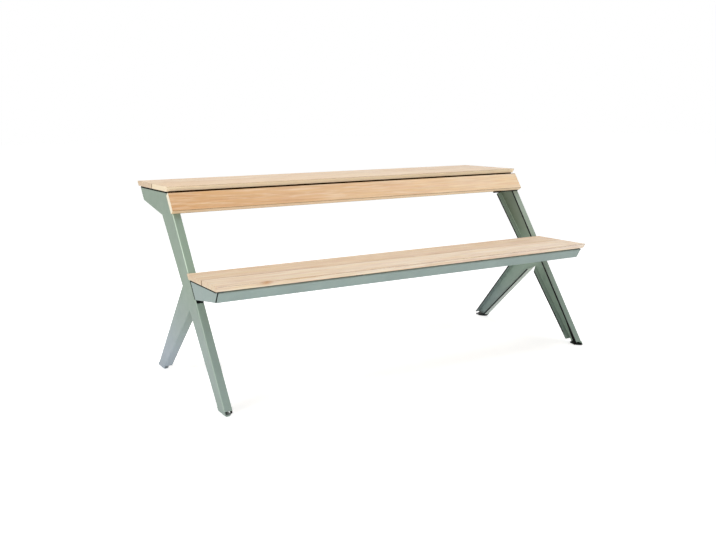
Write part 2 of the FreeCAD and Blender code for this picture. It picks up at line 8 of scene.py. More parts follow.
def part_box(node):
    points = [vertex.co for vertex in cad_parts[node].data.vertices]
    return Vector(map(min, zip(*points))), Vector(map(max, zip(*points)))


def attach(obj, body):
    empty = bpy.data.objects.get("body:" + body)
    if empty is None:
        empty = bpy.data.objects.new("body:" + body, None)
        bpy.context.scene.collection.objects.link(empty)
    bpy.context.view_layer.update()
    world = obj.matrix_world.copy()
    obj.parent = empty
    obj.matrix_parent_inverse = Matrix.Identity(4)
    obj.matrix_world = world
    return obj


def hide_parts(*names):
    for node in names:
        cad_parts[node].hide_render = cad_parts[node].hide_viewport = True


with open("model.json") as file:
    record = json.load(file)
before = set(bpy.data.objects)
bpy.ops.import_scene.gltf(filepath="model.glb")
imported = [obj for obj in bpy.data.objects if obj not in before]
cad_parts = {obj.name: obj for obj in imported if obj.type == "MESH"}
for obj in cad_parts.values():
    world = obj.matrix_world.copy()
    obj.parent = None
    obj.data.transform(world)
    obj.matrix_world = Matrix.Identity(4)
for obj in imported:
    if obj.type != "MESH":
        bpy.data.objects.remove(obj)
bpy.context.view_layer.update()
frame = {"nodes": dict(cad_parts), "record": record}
nodes = frame["nodes"]

# Camera solved from the photograph's edges
CAMERA_PLACE = (-1.844, -2.9855, 1.0085)
CAMERA_YAW = math.radians(30.93)
CAMERA_PITCH = math.radians(10.5)
CAMERA_ROLL = math.radians(-0.5)
CAMERA_FOCAL_PIXELS = 840.0
PICTURE_WIDTH = 716
SENSOR_WIDTH = 36.0
CLIP_END = 100.0

# Lamps, in metres and watts: place, size and power. All of them point at the middle of the bench.
LAMP_TARGET = (0, 0, 0.4)
LAMPS = {
    "key_left": ((-4.6, -0.4, 2.7), (2.4, 2.4), 75),
    "top": ((0.2, 0.4, 4.4), (4.0, 3.0), 135),
    "front": ((-1.3, -4.6, 1.0), (4.0, 2.0), 86),
    "left_front": ((-4.2, -3.4, 1.6), (2.5, 2.5), 22),
}
WHITE = (1, 1, 1, 1)
AMBIENT_LIGHT = 0.12
BACKDROP_LIGHT = 1.0
FLOOR_SIZE = 60.0
FLOOR_PAINT = (0.9, 0.9, 0.9, 1)
FLOOR_BOUNCE = 0.23

# The floor's own glow as it is seen, near the bench and far off, and the distances for those two
FLOOR_GLOW_NEAR = 0.66
FLOOR_GLOW_FAR = 0.9
GLOW_NEAR_REACH = 2.0
GLOW_FAR_REACH = 7.0

# Steel, in metres
FRAME_END = 0.840
SHEET = 0.003
BEND = 0.0045
CLEARANCE = 0.0002
APRON_LEAN = 0.608
APRON_TOP_Y = -0.396086
APRON_FOLD_Z = 0.387
ARM_END_LEAN = 0.74

# Where the side frames' painted light and shade change: heights of the painted cool light low down, of
# the painted light and shade on the flat side, of the painted sheen and of the painted fold highlights,
# and x on the way from the left frame to the right one
COOL_LIGHT_TOP = 0.42
COOL_LIGHT_FOOT = 0.10
SIDE_LIGHT_HEIGHTS = (0.38, 0.50)
SHEEN_HEIGHTS = (0.15, 0.65)
FOLD_HIGHLIGHT_HEIGHTS = (0.34, 0.48)
LEFT_TO_RIGHT = (-0.3, 0.5)

# Black painted shade: on the right foot tabs below SHADED_TAB_TOP, and on the sawn tips at least TIP_INSET
# in from the flat side
SHADED_TAB_TOP = 0.009
TIP_INSET = 0.020

# Fasteners, in metres: how near to an end a corner counts as on it, and the pitch of the feet's thread
END_DEPTH = 1e-4
FOOT_PITCH = 0.00125

# Sides of the round forms
SHANK_SIDES = 12
THREAD_SIDES = 18
STUD_SIDES = 20
HEAD_SIDES = 24
GLIDE_SIDES = 40

# Glide's outline from the floor up, as shares of its height and of its radius
GLIDE_OUTLINE = [(0.0, 0.90), (0.15, 0.97), (0.45, 1.0), (0.72, 1.0), (0.92, 0.96), (1.0, 0.88)]

# Wood, in metres
BOARD_DROP = 0.0095
BOARD_THICKNESS = 0.023
SEAT_KNOT = (-0.664, -0.410)
TONE_REACH = 0.8

UP = Vector((0, 0, 1))
APRON_OUT = Vector((0, -1, -APRON_LEAN)).normalized()
ARM_END_IN = Vector((0, -1, ARM_END_LEAN)).normalized()

# Black strips of painted shade in the joints, as closed sections: the way in from the frame's flat side,
# then the way out of the groove
LIMB_SHADE_STRIP = [
    (0.0005, -0.0023), (0.0015, -0.0011), (0.0030, -0.0002), (0.0045, 0.0),
    (0.0045, 0.0020), (0.0030, 0.0022), (0.0015, 0.0031), (0.0005, 0.0043)]
APRON_SHADE_STRIP = [(0.0030, -0.0052), (0.0050, -0.0050), (0.0050, -0.0010), (0.0036, -0.0010), (0.0030, -0.0022)]
PLANK_SHADE_STRIP = [(0.0004, -0.0022), (0.0015, -0.0009), (0.0035, 0.0), (0.0035, 0.0049), (0.0004, 0.0049)]

# Black strip of painted shadow under the bracket, which runs along X, as a closed section: y and z from
# where the bracket's lower edge meets the limb
UNDER_BRACKET_SHADE = [(0.0, 0.0), (-0.0080, -0.0115), (-0.0088, -0.0108), (-0.0022, 0.0004)]

# Black strip of painted shadow under the board: the ways out from the limb's front face and up along it,
# from the board's lower edge
UNDER_BOARD_SHADE = [(0.0002, 0.003), (0.006, 0.003), (0.005, -0.0035), (0.0002, -0.0045)]

# Brown-black strip of painted shade in the groove under the front table plank: y and z from the corner
# where the limb's front face meets the frame's top
TABLE_GAP_SHADE = [
    (-0.0061, -0.0083), (-0.0002, 0.0002), (-0.0002, 0.0048), (-0.0066, 0.0048),
    (-0.00775, 0.0065), (-0.0080, 0.0063), (-0.0069, 0.0044)]

# Painted shade along the board's top edge: the ways out from the board's front face and up along it, from
# its top edge
BOARD_EDGE_SHADE = [
    (-0.0003, -0.0026), (-0.0003, -0.0010), (-0.0010, -0.0003), (-0.0040, -0.0002), (-0.0014, -0.0014)]

# How far the black strips of painted shade stop short of the steel's top, of the bracket's lower edge, of
# the limb's front face, of the apron's top edge, and of the ends of the side frames and of the board
TOP_GAP = 0.0005
FOOT_GAP = 0.001
LIMB_GAP = 0.004
APRON_GAP = 0.010
TABLE_SHADE_GAP = 0.004
BOARD_SHADE_GAP = 0.001

# How far in from the frame's flat side the painted shadow strip under the bracket reaches
UNDER_BRACKET_REACH = 0.030

# The black strip of painted shadow under the board's right end: where it starts, where it turns thin, and
# how much deeper it hangs between these two
UNDER_BOARD_BLOCK_X = 0.690
UNDER_BOARD_STRIP_X = 0.735
UNDER_BOARD_EXTRA = 0.003


class Face:
    """Face of a leg: a plane along X that leans back by lean for each metre up. side is -1 for a face
    that looks forward and 1 for one that looks to the rear."""

    def __init__(self, floor_y, lean, side):
        self.floor_y = floor_y
        self.lean = lean
        self.out = Vector((0, side, -side * lean)).normalized()
        self.up = Vector((0, lean, 1)).normalized()

    def point(self, z):
        return Vector((0, self.floor_y + self.lean * z, z))


LIMB_FRONT = Face(-0.428886, 0.696, -1)
LIMB_REAR = Face(-0.364386, 0.806, 1)
LEG_FRONT = Face(0.228114, -1.109, -1)
LEG_REAR = Face(0.298814, -0.883, 1)

# Black strips of painted shade inside the flanges, along their tips: face, lowest and highest z, and in
# front how deep the strip reaches at these
FRONT_SHADE_STRIPS = [
    (LIMB_FRONT, 0.012, 0.100, 0.0190, 0.0098),
    (LIMB_FRONT, 0.100, 0.655, 0.0098, 0.0085),
    (LEG_FRONT, 0.012, 0.288, 0.0075, 0.0065),
]
# Thinner black strips of painted shade inside the rear flanges: face, lowest and highest z
REAR_SHADE_STRIPS = [(LIMB_REAR, 0.040, 0.288), (LIMB_REAR, 0.412, 0.618), (LEG_REAR, 0.040, 0.370)]
FRONT_SHADE_WIDTH = 0.0030
REAR_SHADE_WIDTH = 0.0028
REAR_SHADE_THICKNESS = 0.001


def srgb(r, g, b):
    """Linear colour from 0 to 255 picture values."""
    def linear(v):
        v /= 255
        return v / 12.92 if v <= 0.04045 else ((v + 0.055) / 1.055) ** 2.4
    return linear(r), linear(g), linear(b), 1.0


# Powder coat and metal
FRAME_SAGE = srgb(131, 149, 132)
# Painted cool light that the side frames turn to towards the floor
COOL_LIT_FRAME_SAGE = srgb(150, 162, 171)
SEAT_SAGE = srgb(138, 155, 150)
THIN_POWDER = srgb(196, 206, 190)
# Painted sheen on the right frame's front faces
SHEEN_POWDER = srgb(206, 212, 200)
# Painted highlight on the folds that face forward and up
FOLD_HIGHLIGHT = srgb(208, 226, 206)
# Near-black painted shade on the flange tips and the right foot tabs
TIP_SHADE = srgb(10, 12, 10)
BLACKENED = srgb(26, 27, 26)
ZINC = srgb(196, 198, 200)
# Painted light below the seat and painted shade above it, on the right frame's flat side
LOW_SIDE_PAINTED_LIGHT = (1.28, 1.32, 1.28, 1)
HIGH_SIDE_PAINTED_SHADE = (0.85, 0.80, 0.76, 1)

# Plastic, and the near-black tones of the painted shade strips
BLACK_PLASTIC = srgb(24, 24, 24)
WORN_PLASTIC = srgb(52, 52, 52)
SHADE_BLACK = (10, 10, 10)
SHADE_BROWN = (44, 26, 0)
SHADE_SPREAD = 7

# Wood
LATE_WOOD = (0.72, 0.60, 0.50, 1)
PORE = (0.74, 0.64, 0.55, 1)
KNOT = (0.72, 0.50, 0.30, 1)
GAP_SHADE = (0.34, 0.24, 0.17, 1)
PALE_STREAK = srgb(246, 234, 212)
WORN_EDGE = srgb(246, 230, 204)
# Pale painted light from below, on the wood's faces that do not look up
UNDER_LIGHT_TONE = srgb(255, 238, 206)

# Streaks in the wood: stretch along and across, how far the pattern shifts for each unit of seed, tint
STREAKS = [
    ((3.0, 70, 70), 1.0, (0.95, 0.83, 0.79, 1)),
    ((5.5, 130, 130), 2.3, (0.98, 0.93, 0.72, 1)),
    ((4.2, 210, 210), 3.1, (0.84, 0.77, 0.72, 1)),
    ((9.0, 34, 34), 0.7, (0.93, 0.89, 0.90, 1)),
]

# Each plank's tones at its left and right end, how far its pith lies behind its middle and below it,
# the seed of its pattern, and its ends' tint with the share of that tint
PLAIN_END = ((226, 200, 168), 0.3)
WOODS = {
    "seat_plank_front": dict(
        tones=((233, 220, 200), (246, 234, 219)), pith=(-0.060, 0.11), seed=1.3, end_grain=PLAIN_END,
        knot=SEAT_KNOT),
    "seat_plank_rear": dict(
        tones=((224, 206, 182), (230, 212, 192)), pith=(0.090, 0.07), seed=4.1, end_grain=PLAIN_END),
    "table_plank_front": dict(
        tones=((229, 210, 185), (233, 220, 203)), pith=(0.040, 0.09), seed=7.7, end_grain=PLAIN_END,
        painted_under_light=0.9),
    "table_plank_rear": dict(
        tones=((227, 211, 190), (230, 216, 199)), pith=(-0.080, 0.12), seed=9.2, end_grain=PLAIN_END),
    "backrest_board": dict(
        tones=((209, 166, 119), (248, 223, 191)), pith=(0.015, 0.05), seed=12.6,
        end_grain=((252, 244, 222), 0.85), painted_under_light=0.4, grain=0.6),
}


class Nodes:
    """Short calls for building a node tree."""

    def __init__(self, owner):
        owner.use_nodes = True
        self.tree = owner.node_tree
        self.tree.nodes.clear()

    def add(self, kind, inputs=None, **settings):
        node = self.tree.nodes.new(kind)
        for key, value in settings.items():
            setattr(node, key, value)
        for key, value in (inputs or {}).items():
            self.plug(value, node.inputs[key])
        return node

    def plug(self, value, socket):
        if isinstance(value, bpy.types.NodeSocket):
            self.tree.links.new(value, socket)
        else:
            socket.default_value = value

    def output(self, kind, shader):
        self.plug(shader.outputs[0], self.add(kind).inputs[0])

    def math(self, operation, a, b=None, c=None):
        node = self.add("ShaderNodeMath", operation=operation)
        for socket, value in zip(node.inputs, (a, b, c)):
            if value is not None:
                self.plug(value, socket)
        return node.outputs[0]

    def times(self, first, *others):
        for other in others:
            first = self.math("MULTIPLY", first, other)
        return first

    def above(self, value, limit):
        """1 where value is over limit, 0 elsewhere."""
        return self.math("GREATER_THAN", value, limit)

    def below(self, value, limit):
        """1 where value is under limit, 0 elsewhere."""
        return self.math("LESS_THAN", value, limit)

    def absolute(self, value):
        return self.math("ABSOLUTE", value)

    def vector(self, operation, a, b=None):
        node = self.add("ShaderNodeVectorMath", operation=operation)
        self.plug(a, node.inputs[0])
        if b is not None:
            self.plug(b, node.inputs[1])
        return node.outputs["Value" if operation in ("LENGTH", "DOT_PRODUCT") else "Vector"]

    def parts(self, vector):
        return self.add("ShaderNodeSeparateXYZ", {"Vector": vector}).outputs

    def place(self):
        """Where the shaded point is, in the frame's metres."""
        return self.add("ShaderNodeTexCoord").outputs["Object"]

    def face_normal(self):
        """The three parts of the mesh face's own normal."""
        return self.parts(self.add("ShaderNodeNewGeometry").outputs["True Normal"])

    def noise(self, vector, scale, detail=2.0, roughness=0.5):
        node = self.add("ShaderNodeTexNoise", {
            "Vector": vector, "Scale": scale, "Detail": detail, "Roughness": roughness})
        return node.outputs["Fac"]

    def stretched(self, vector, scale, shift=(0, 0, 0)):
        moved = self.vector("ADD", vector, shift)
        return self.vector("MULTIPLY", moved, scale)

    def span(self, value, low, high, to_low=0.0, to_high=1.0):
        """Takes low to to_low and high to to_high, and stops at both."""
        node = self.add("ShaderNodeMapRange", {
            "Value": value, "From Min": low, "From Max": high, "To Min": to_low, "To Max": to_high})
        return node.outputs["Result"]

    def mix(self, factor, a, b, blend="MIX"):
        """Colour mix. Sockets 0, 6 and 7 are the node's factor and its two colours."""
        node = self.add("ShaderNodeMix", data_type="RGBA", blend_type=blend)
        for socket, value in zip((node.inputs[0], node.inputs[6], node.inputs[7]), (factor, a, b)):
            self.plug(value, socket)
        return node.outputs[2]

    def tinted(self, base, tint, share=1.0):
        """The base multiplied by tint, for that share of it."""
        return self.mix(share, base, tint, "MULTIPLY")

    def shaded(self, base, level):
        """The base made lighter or darker by level."""
        grey = self.add("ShaderNodeCombineColor", {"Red": level, "Green": level, "Blue": level})
        return self.tinted(base, grey.outputs[0])

    def ramp(self, value, stops):
        """Grey levels at the given places between 0 and 1."""
        node = self.add("ShaderNodeValToRGB", {"Fac": value})
        elements = node.color_ramp.elements
        while len(elements) < len(stops):
            elements.new(0.5)
        for element, (place, level) in zip(elements, stops):
            element.position = place
            element.color = (level, level, level, 1)
        return node.outputs["Color"]

    def softened(self, radius):
        """Normal with the edges eased by radius."""
        return self.add("ShaderNodeBevel", {"Radius": radius}, samples=4).outputs[0]

    def edge_share(self, soft):
        """1 at sharp edges and 0 on flat faces, where soft is the softened normal."""
        hard = self.add("ShaderNodeNewGeometry").outputs["Normal"]
        return self.span(self.vector("DOT_PRODUCT", soft, hard), 0.999, 0.93)

    def bump(self, height, strength, distance, normal):
        node = self.add("ShaderNodeBump", {
            "Height": height, "Strength": strength, "Distance": distance, "Normal": normal})
        return node.outputs["Normal"]


def new_material(name):
    material = bpy.data.materials.new(name)
    build = Nodes(material)
    shader = build.add("ShaderNodeBsdfPrincipled")
    build.output("ShaderNodeOutputMaterial", shader)
    return material, build, shader


def powder_coat(name, color, cool_lit_color=None):
    """Satin powder coat: faint mottle, fine orange peel, edges that have thinned a little. With a second
    colour, for the side frames, it turns towards that painted cool light near the floor, and it gets the
    frames' painted light, sheen, highlights and shade."""
    material, build, shader = new_material(name)
    place = build.place()
    if cool_lit_color:
        color = build.mix(painted_cool_light_share(build, place), color, cool_lit_color)
    mottle = build.span(build.noise(place, 5.0, 3.0), 0.3, 0.7, 0.94, 1.05)
    dust = build.span(build.noise(place, 70.0, 4.0, 0.6), 0.3, 0.7, 0.975, 1.02)
    base = build.shaded(color, build.times(mottle, dust))
    soft = build.softened(0.0012)
    broken = build.span(build.noise(place, 160.0, 3.0), 0.35, 0.7)
    base = build.mix(build.times(build.edge_share(soft), broken, 0.35), base, THIN_POWDER)
    if cool_lit_color:
        base = painted_frame_light(build, place, base)
    build.plug(base, shader.inputs["Base Color"])
    rough = build.span(build.noise(place, 40.0, 4.0), 0.25, 0.75, 0.38, 0.52)
    build.plug(rough, shader.inputs["Roughness"])
    peel = build.noise(place, 1400.0, 2.0, 0.55)
    build.plug(build.bump(peel, 0.12, 0.0004, soft), shader.inputs["Normal"])
    shader.inputs["Specular IOR Level"].default_value = 0.45
    return material


def painted_cool_light_share(build, place):
    """Share of the painted cool light: it grows below the seat, most on the rear legs and on the left."""
    x, y, z = build.parts(place)
    patch = build.math("MULTIPLY_ADD", build.noise(place, 3.0, 1.0), 0.16, -0.08)
    low = build.span(build.math("ADD", z, patch), COOL_LIGHT_TOP, COOL_LIGHT_FOOT)
    to_rear = build.span(y, -0.35, 0.10, 0.3, 1.0)
    to_right = build.span(x, *LEFT_TO_RIGHT, 1.0, 0.55)
    return build.times(low, build.times(to_rear, to_right))


def painted_frame_light(build, place, base):
    """The side frames' painted light and shade. The right one gets painted light on its flat side below the
    seat and painted shade above, and a paler painted sheen on the front of its limb, which looks up, and of
    its rear leg, which looks down. The folds get a paler painted highlight, and the sawn tips black painted
    shade."""
    x, _, z = build.parts(place)
    normal = build.face_normal()
    to_right = build.span(x, *LEFT_TO_RIGHT)
    # Painted light below the seat and painted shade above it on the right frame's flat side
    flat_side = build.times(build.above(build.absolute(normal[0]), 0.97), to_right)
    side_light_and_shade = build.mix(build.span(z, *SIDE_LIGHT_HEIGHTS), LOW_SIDE_PAINTED_LIGHT, HIGH_SIDE_PAINTED_SHADE)
    base = build.tinted(base, side_light_and_shade, flat_side)
    # Paler painted sheen on the fronts of the right limb and rear leg, more of it higher up
    limb_front = build.times(build.span(normal[2], 0.50, 0.56), build.span(normal[1], -0.7, -0.8))
    leg_front = build.times(build.span(normal[2], -0.66, -0.72), build.below(normal[1], -0.5))
    by_height = build.span(z, *SHEEN_HEIGHTS, 0.0, 0.28)
    sheen = build.math("MULTIPLY_ADD", limb_front, by_height, build.times(leg_front, 0.45))
    base = build.mix(build.times(sheen, to_right), base, SHEEN_POWDER)
    # Painted highlight along the upper folds
    base = build.mix(painted_fold_highlight(build, normal, z), base, FOLD_HIGHLIGHT)
    # Black painted shade on the sawn tips and the right foot tabs
    return build.mix(painted_tip_shade(build, normal, x, z), base, TIP_SHADE)


def painted_tip_shade(build, normal, x, z):
    """Share of black painted shade: 1 on the sawn tips of the flanges and round the foot tabs on the right.
    """
    sideways = build.above(build.absolute(normal[0]), 0.9)
    inner = build.below(build.absolute(x), FRAME_END - TIP_INSET)
    on_tab = build.times(build.below(z, SHADED_TAB_TOP), build.above(x, 0.0))
    return build.math("MAXIMUM", build.times(sideways, inner), on_tab)


def painted_fold_highlight(build, normal, height):
    """Share of the painted highlight on the folds that face forward and up, strongest above the seat."""
    sideways = build.absolute(normal[0])
    turned = build.times(build.span(sideways, 0.25, 0.45), build.span(sideways, 0.97, 0.90))
    faces = build.times(build.above(normal[2], 0.05), build.below(normal[1], -0.05))
    return build.times(turned, faces, build.span(height, *FOLD_HIGHLIGHT_HEIGHTS, 0.25, 0.8))


def growth_rings(build, place, pith, seed):
    """How much late wood lies here, in rings round the pith, a line along X through that y and z."""
    slow = build.stretched(place, (1.1, 5.0, 5.0), (seed, seed * 1.7, 0))
    wobble = build.add("ShaderNodeTexNoise", {"Vector": slow, "Scale": 1.0, "Detail": 2.0}).outputs["Color"]
    wobble = build.vector("MULTIPLY", build.vector("SUBTRACT", wobble, (0.5, 0.5, 0.5)), (0, 0.075, 0.045))
    across = build.vector("ADD", build.vector("MULTIPLY", place, (0, 1, 1)), (0, -pith[0], -pith[1]))
    radius = build.vector("LENGTH", build.vector("ADD", across, wobble))
    uneven = build.noise(build.stretched(place, (2.5, 60, 60), (0, seed, 0)), 1.0, 3.0)
    ring = build.math("FRACT", build.math("MULTIPLY_ADD", radius, 230.0, build.times(uneven, 2.2)))
    return build.ramp(ring, [(0.0, 0), (0.55, 0.16), (0.86, 1), (1.0, 0)])


def knotted(build, place, base, knot, fibre):
    """The base with a knot at that x and y, drawn out along the grain."""
    off = build.stretched(place, (42, 130, 0), (-knot[0], -knot[1], 0))
    near = build.math("ADD", build.vector("LENGTH", off), build.times(fibre, 0.5))
    return build.tinted(base, KNOT, build.span(near, 1.5, 0.4, 0.0, 0.85))


def wood(name, tones, pith, seed, end_grain, knot=None, painted_under_light=0.0, grain=1.0):
    """Solid wood from one tone on the left to another on the right, whose growth rings run round a pith
    line along X, so faces and ends agree. end_grain is the ends' tint and share, knot an x and y, grain
    the strength of rings and streaks, and the argument before grain the share of pale painted light from
    below on the faces that do not look up."""
    material, build, shader = new_material(name)
    place = build.place()
    late = growth_rings(build, place, pith, seed)
    fibre = build.noise(build.stretched(place, (5, 520, 520), (seed, 0, 0)), 1.0, 5.0, 0.62)
    rightward = build.span(build.parts(place)[0], -TONE_REACH, TONE_REACH)
    base = build.mix(rightward, srgb(*tones[0]), srgb(*tones[1]))
    base = build.tinted(base, LATE_WOOD, build.times(late, 0.32 * grain))
    for scale, reach, tint in STREAKS:
        shift = seed * reach
        band = build.noise(build.stretched(place, scale, (shift, 0, shift)), 1.0, 4.0, 0.62)
        base = build.tinted(base, tint, build.span(band, 0.42, 0.66, 0.0, 0.9 * grain))
    pale = build.noise(build.stretched(place, (8.0, 100, 100), (0, seed * 1.9, 0)), 1.0, 4.0, 0.6)
    base = build.mix(build.span(pale, 0.48, 0.70, 0.0, 0.3), base, PALE_STREAK)
    base = build.shaded(base, build.span(fibre, 0.25, 0.75, 0.93, 1.06))
    pore = build.noise(build.stretched(place, (22, 900, 900), (0, seed, 0)), 1.0, 2.0, 0.5)
    base = build.tinted(base, PORE, build.span(pore, 0.66, 0.78, 0.0, 0.35))
    if knot:
        base = knotted(build, place, base, knot, fibre)
    soft = build.softened(0.0015)
    base = build.mix(build.times(build.edge_share(soft), 0.25), base, WORN_EDGE)
    normal = build.face_normal()
    # Pale painted light from below on the faces that do not look up
    base = build.mix(build.span(normal[2], 0.56, 0.0, 0.0, painted_under_light), base, UNDER_LIGHT_TONE)
    base = build.tinted(base, GAP_SHADE, build.above(build.absolute(normal[1]), 0.98))
    on_end = build.above(build.absolute(normal[0]), 0.9)
    base = build.mix(build.times(on_end, end_grain[1]), base, srgb(*end_grain[0]))
    build.plug(base, shader.inputs["Base Color"])
    build.plug(build.span(late, 0.0, 1.0, 0.66, 0.52), shader.inputs["Roughness"])
    relief = build.math("ADD", build.times(late, 0.6), build.times(fibre, 0.9))
    build.plug(build.bump(relief, 0.25, 0.0006, soft), shader.inputs["Normal"])
    shader.inputs["Specular IOR Level"].default_value = 0.35
    return material


def plain_metal(name, color):
    """Zinc plate with a faint spangle."""
    material, build, shader = new_material(name)
    place = build.place()
    spangle = build.add("ShaderNodeTexVoronoi", {"Vector": place, "Scale": 420.0}).outputs["Color"]
    red = build.add("ShaderNodeSeparateColor", {"Color": spangle}).outputs[0]
    base = build.shaded(color, build.math("MULTIPLY_ADD", red, 0.16, 0.92))
    build.plug(base, shader.inputs["Base Color"])
    rough = build.span(build.noise(place, 300.0, 3.0), 0.3, 0.7, 0.28, 0.45)
    build.plug(rough, shader.inputs["Roughness"])
    shader.inputs["Metallic"].default_value = 1.0
    build.plug(build.softened(0.0004), shader.inputs["Normal"])
    return material


def moulded(name, color):
    """Black moulded plastic with a fine spark-eroded grain."""
    material, build, shader = new_material(name)
    place = build.place()
    grain = build.noise(place, 2600.0, 2.0, 0.6)
    base = build.mix(build.span(grain, 0.3, 0.7, 0.0, 0.35), color, WORN_PLASTIC)
    build.plug(base, shader.inputs["Base Color"])
    rough = build.span(build.noise(place, 90.0, 3.0), 0.3, 0.7, 0.5, 0.66)
    build.plug(rough, shader.inputs["Roughness"])
    build.plug(build.bump(grain, 0.2, 0.0002, build.softened(0.0006)), shader.inputs["Normal"])
    return material


def shade_matt(name, tone):
    """Matt, nearly black material of the painted shade strips, from the tone to one a little lighter."""
    material, build, shader = new_material(name)
    lighter = [value + SHADE_SPREAD for value in tone]
    base = build.mix(build.noise(build.place(), 900.0, 2.0), srgb(*tone), srgb(*lighter))
    build.plug(base, shader.inputs["Base Color"])
    shader.inputs["Roughness"].default_value = 0.9
    shader.inputs["Specular IOR Level"].default_value = 0.1
    return material


class Shapes:
    """Collects turned, hexagonal and drawn shapes in one mesh."""

    def __init__(self):
        self.verts = []
        self.faces = []

    def corner(self, base, turn, angle, reach, along):
        self.verts.append(base + turn @ Vector((reach * math.cos(angle), reach * math.sin(angle), along)))

    def circle(self, base, turn, along, radius, sides, flat=None):
        """Ring of corners. flat, half a width across flats, cuts it to a hexagon with round corners."""
        for k in range(sides):
            angle = 2 * math.pi * k / sides
            reach = radius
            if flat:
                from_flat = (angle + math.pi / 6) % (math.pi / 3) - math.pi / 6
                reach = min(radius, flat / math.cos(from_flat))
            self.corner(base, turn, angle, reach, along)

    def skin(self, start, rows, sides):
        for row in range(rows - 1):
            for k in range(sides):
                a = start + row * sides
                b = a + (k + 1) % sides
                self.faces.append((a + k, b, b + sides, a + sides + k))

    def turn(self, base, axis, profile, sides=HEAD_SIDES):
        """Closed solid round axis. Each ring of the profile is its distance from base, its radius and,
        if it is a hexagon, half its width across flats."""
        turn = UP.rotation_difference(axis)
        start = len(self.verts)
        for along, radius, *flat in profile:
            self.circle(base, turn, along, radius, sides, *flat)
        self.skin(start, len(profile), sides)
        last = start + (len(profile) - 1) * sides
        self.faces.append(tuple(range(start + sides - 1, start - 1, -1)))
        self.faces.append(tuple(range(last, last + sides)))

    def thread(self, base, axis, length, radius, depth, pitch, sides=THREAD_SIDES):
        """Helical skin round a core, with a chamfered tip."""
        turn = UP.rotation_difference(axis)
        start = len(self.verts)
        rows = int(2 * length / pitch) + 1
        for row in range(rows):
            reach = radius - (depth if row % 2 else 0)
            for k in range(sides):
                along = min((row / 2 + k / sides) * pitch, length)
                self.corner(base, turn, 2 * math.pi * k / sides, reach, along)
        for row in range(rows - 3):
            for k in range(sides):
                a = start + row * sides + k
                b = a + 1 if k < sides - 1 else start + (row + 2) * sides
                self.faces.append((a, b, b + sides, a + sides))
        core = radius - depth
        self.turn(base, axis, [(0, core), (length - depth, core * 1.02), (length, core * 0.86)], sides)

    def nut(self, base, axis, inner, outer, height, flat, sides=HEAD_SIDES):
        """Hexagonal nut with eased edges and an open bore. flat is half its width across flats."""
        turn = UP.rotation_difference(axis)
        start = len(self.verts)
        ease = 0.12 * height
        hub = flat * 1.04
        section = [
            (0, inner), (0, hub), (ease, outer), (height - ease, outer), (height, hub), (height, inner)]
        for along, radius in section:
            self.circle(base, turn, along, radius, sides, flat if radius > inner else None)
        self.skin(start, len(section), sides)
        last = start + (len(section) - 1) * sides
        for k in range(sides):
            after = (k + 1) % sides
            self.faces.append((last + k, last + after, start + after, start + k))

    def bar(self, section, start, finish, last_section=None):
        """Straight bar whose closed section is given as vectors from the line between start and finish.
        It goes over to last_section, of as many points, if there is one."""
        first = len(self.verts)
        count = len(section)
        self.verts += [start + point for point in section]
        self.verts += [finish + point for point in last_section or section]
        for k in range(count):
            after = (k + 1) % count
            self.faces.append((first + k, first + after, first + count + after, first + count + k))
        self.faces.append(tuple(range(first + count - 1, first - 1, -1)))
        self.faces.append(tuple(range(first + count, first + 2 * count)))

    def piece(self, name, material, body, replaced=()):
        mesh = bpy.data.meshes.new(name)
        mesh.from_pydata(self.verts, [], self.faces)
        work = bmesh.new()
        work.from_mesh(mesh)
        bmesh.ops.recalc_face_normals(work, faces=work.faces)
        work.to_mesh(mesh)
        work.free()
        obj = bpy.data.objects.new(name, mesh)
        bpy.context.scene.collection.objects.link(obj)
        mesh.materials.append(material)
        if replaced:
            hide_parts(*replaced)
        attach(obj, body)


def islands(name):
    """Separate solids of a CAD node, each as a list of its corners in metres."""
    mesh = nodes[name].data
    keys = [tuple(round(c, 5) for c in v.co) for v in mesh.vertices]
    link = {key: key for key in keys}

    def top(key):
        while link[key] != key:
            link[key] = link[link[key]]
            key = link[key]
        return key

    for face in mesh.polygons:
        for i in face.vertices[1:]:
            link[top(keys[i])] = top(keys[face.vertices[0]])
    groups = {}
    for key in link:
        groups.setdefault(top(key), []).append(Vector(key))
    return list(groups.values())


def measured(points, axis):
    """Centre line point, and (distance, radius) of every corner along axis from it."""
    centre = sum(points, Vector()) / len(points)
    rows = []
    for point in points:
        along = (point - centre).dot(axis)
        rows.append((along, (point - centre - axis * along).length))
    return centre, sorted(rows)


def dress(name, material):
    obj = nodes[name]
    obj.data.materials.clear()
    obj.data.materials.append(material)


def middle(name):
    low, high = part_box(name)
    return (low + high) / 2


def half_across_flats(corner):
    return corner * math.cos(math.pi / 6)


def bolt_detail(shapes, points, axis, threaded):
    """Chamfered hexagonal head with a dished top and a washer face, and its shank."""
    centre, rows = measured(points, axis)
    first_end = max(r for a, r in rows if a < rows[0][0] + END_DEPTH)
    last_end = max(r for a, r in rows if a > rows[-1][0] - END_DEPTH)
    if last_end > first_end:
        axis = -axis
        centre, rows = measured(points, axis)
    corner = max(r for _, r in rows)
    flat = half_across_flats(corner)
    low = rows[0][0]
    seat = max(a for a, r in rows if r > corner * 0.98)
    height = seat - low
    shank = rows[-1][1]
    dish = [(height * 0.10, flat * 0.30), (0.0, flat * 0.42), (0.0, flat * 0.90)]
    hexagon = [(height * 0.12, corner, flat), (height * 0.80, corner, flat)]
    washer_face = [(height * 0.80, corner * 1.10), (height, corner * 1.14), (height, shank)]
    shapes.turn(centre + axis * low, axis, dish + hexagon + washer_face)
    length = rows[-1][0] - seat
    if threaded:
        depth = shank * 0.16
        shapes.thread(centre + axis * seat, axis, length, shank, depth, 2 * depth)
    else:
        shapes.turn(centre + axis * seat, axis, [(0, shank), (length, shank)], SHANK_SIDES)


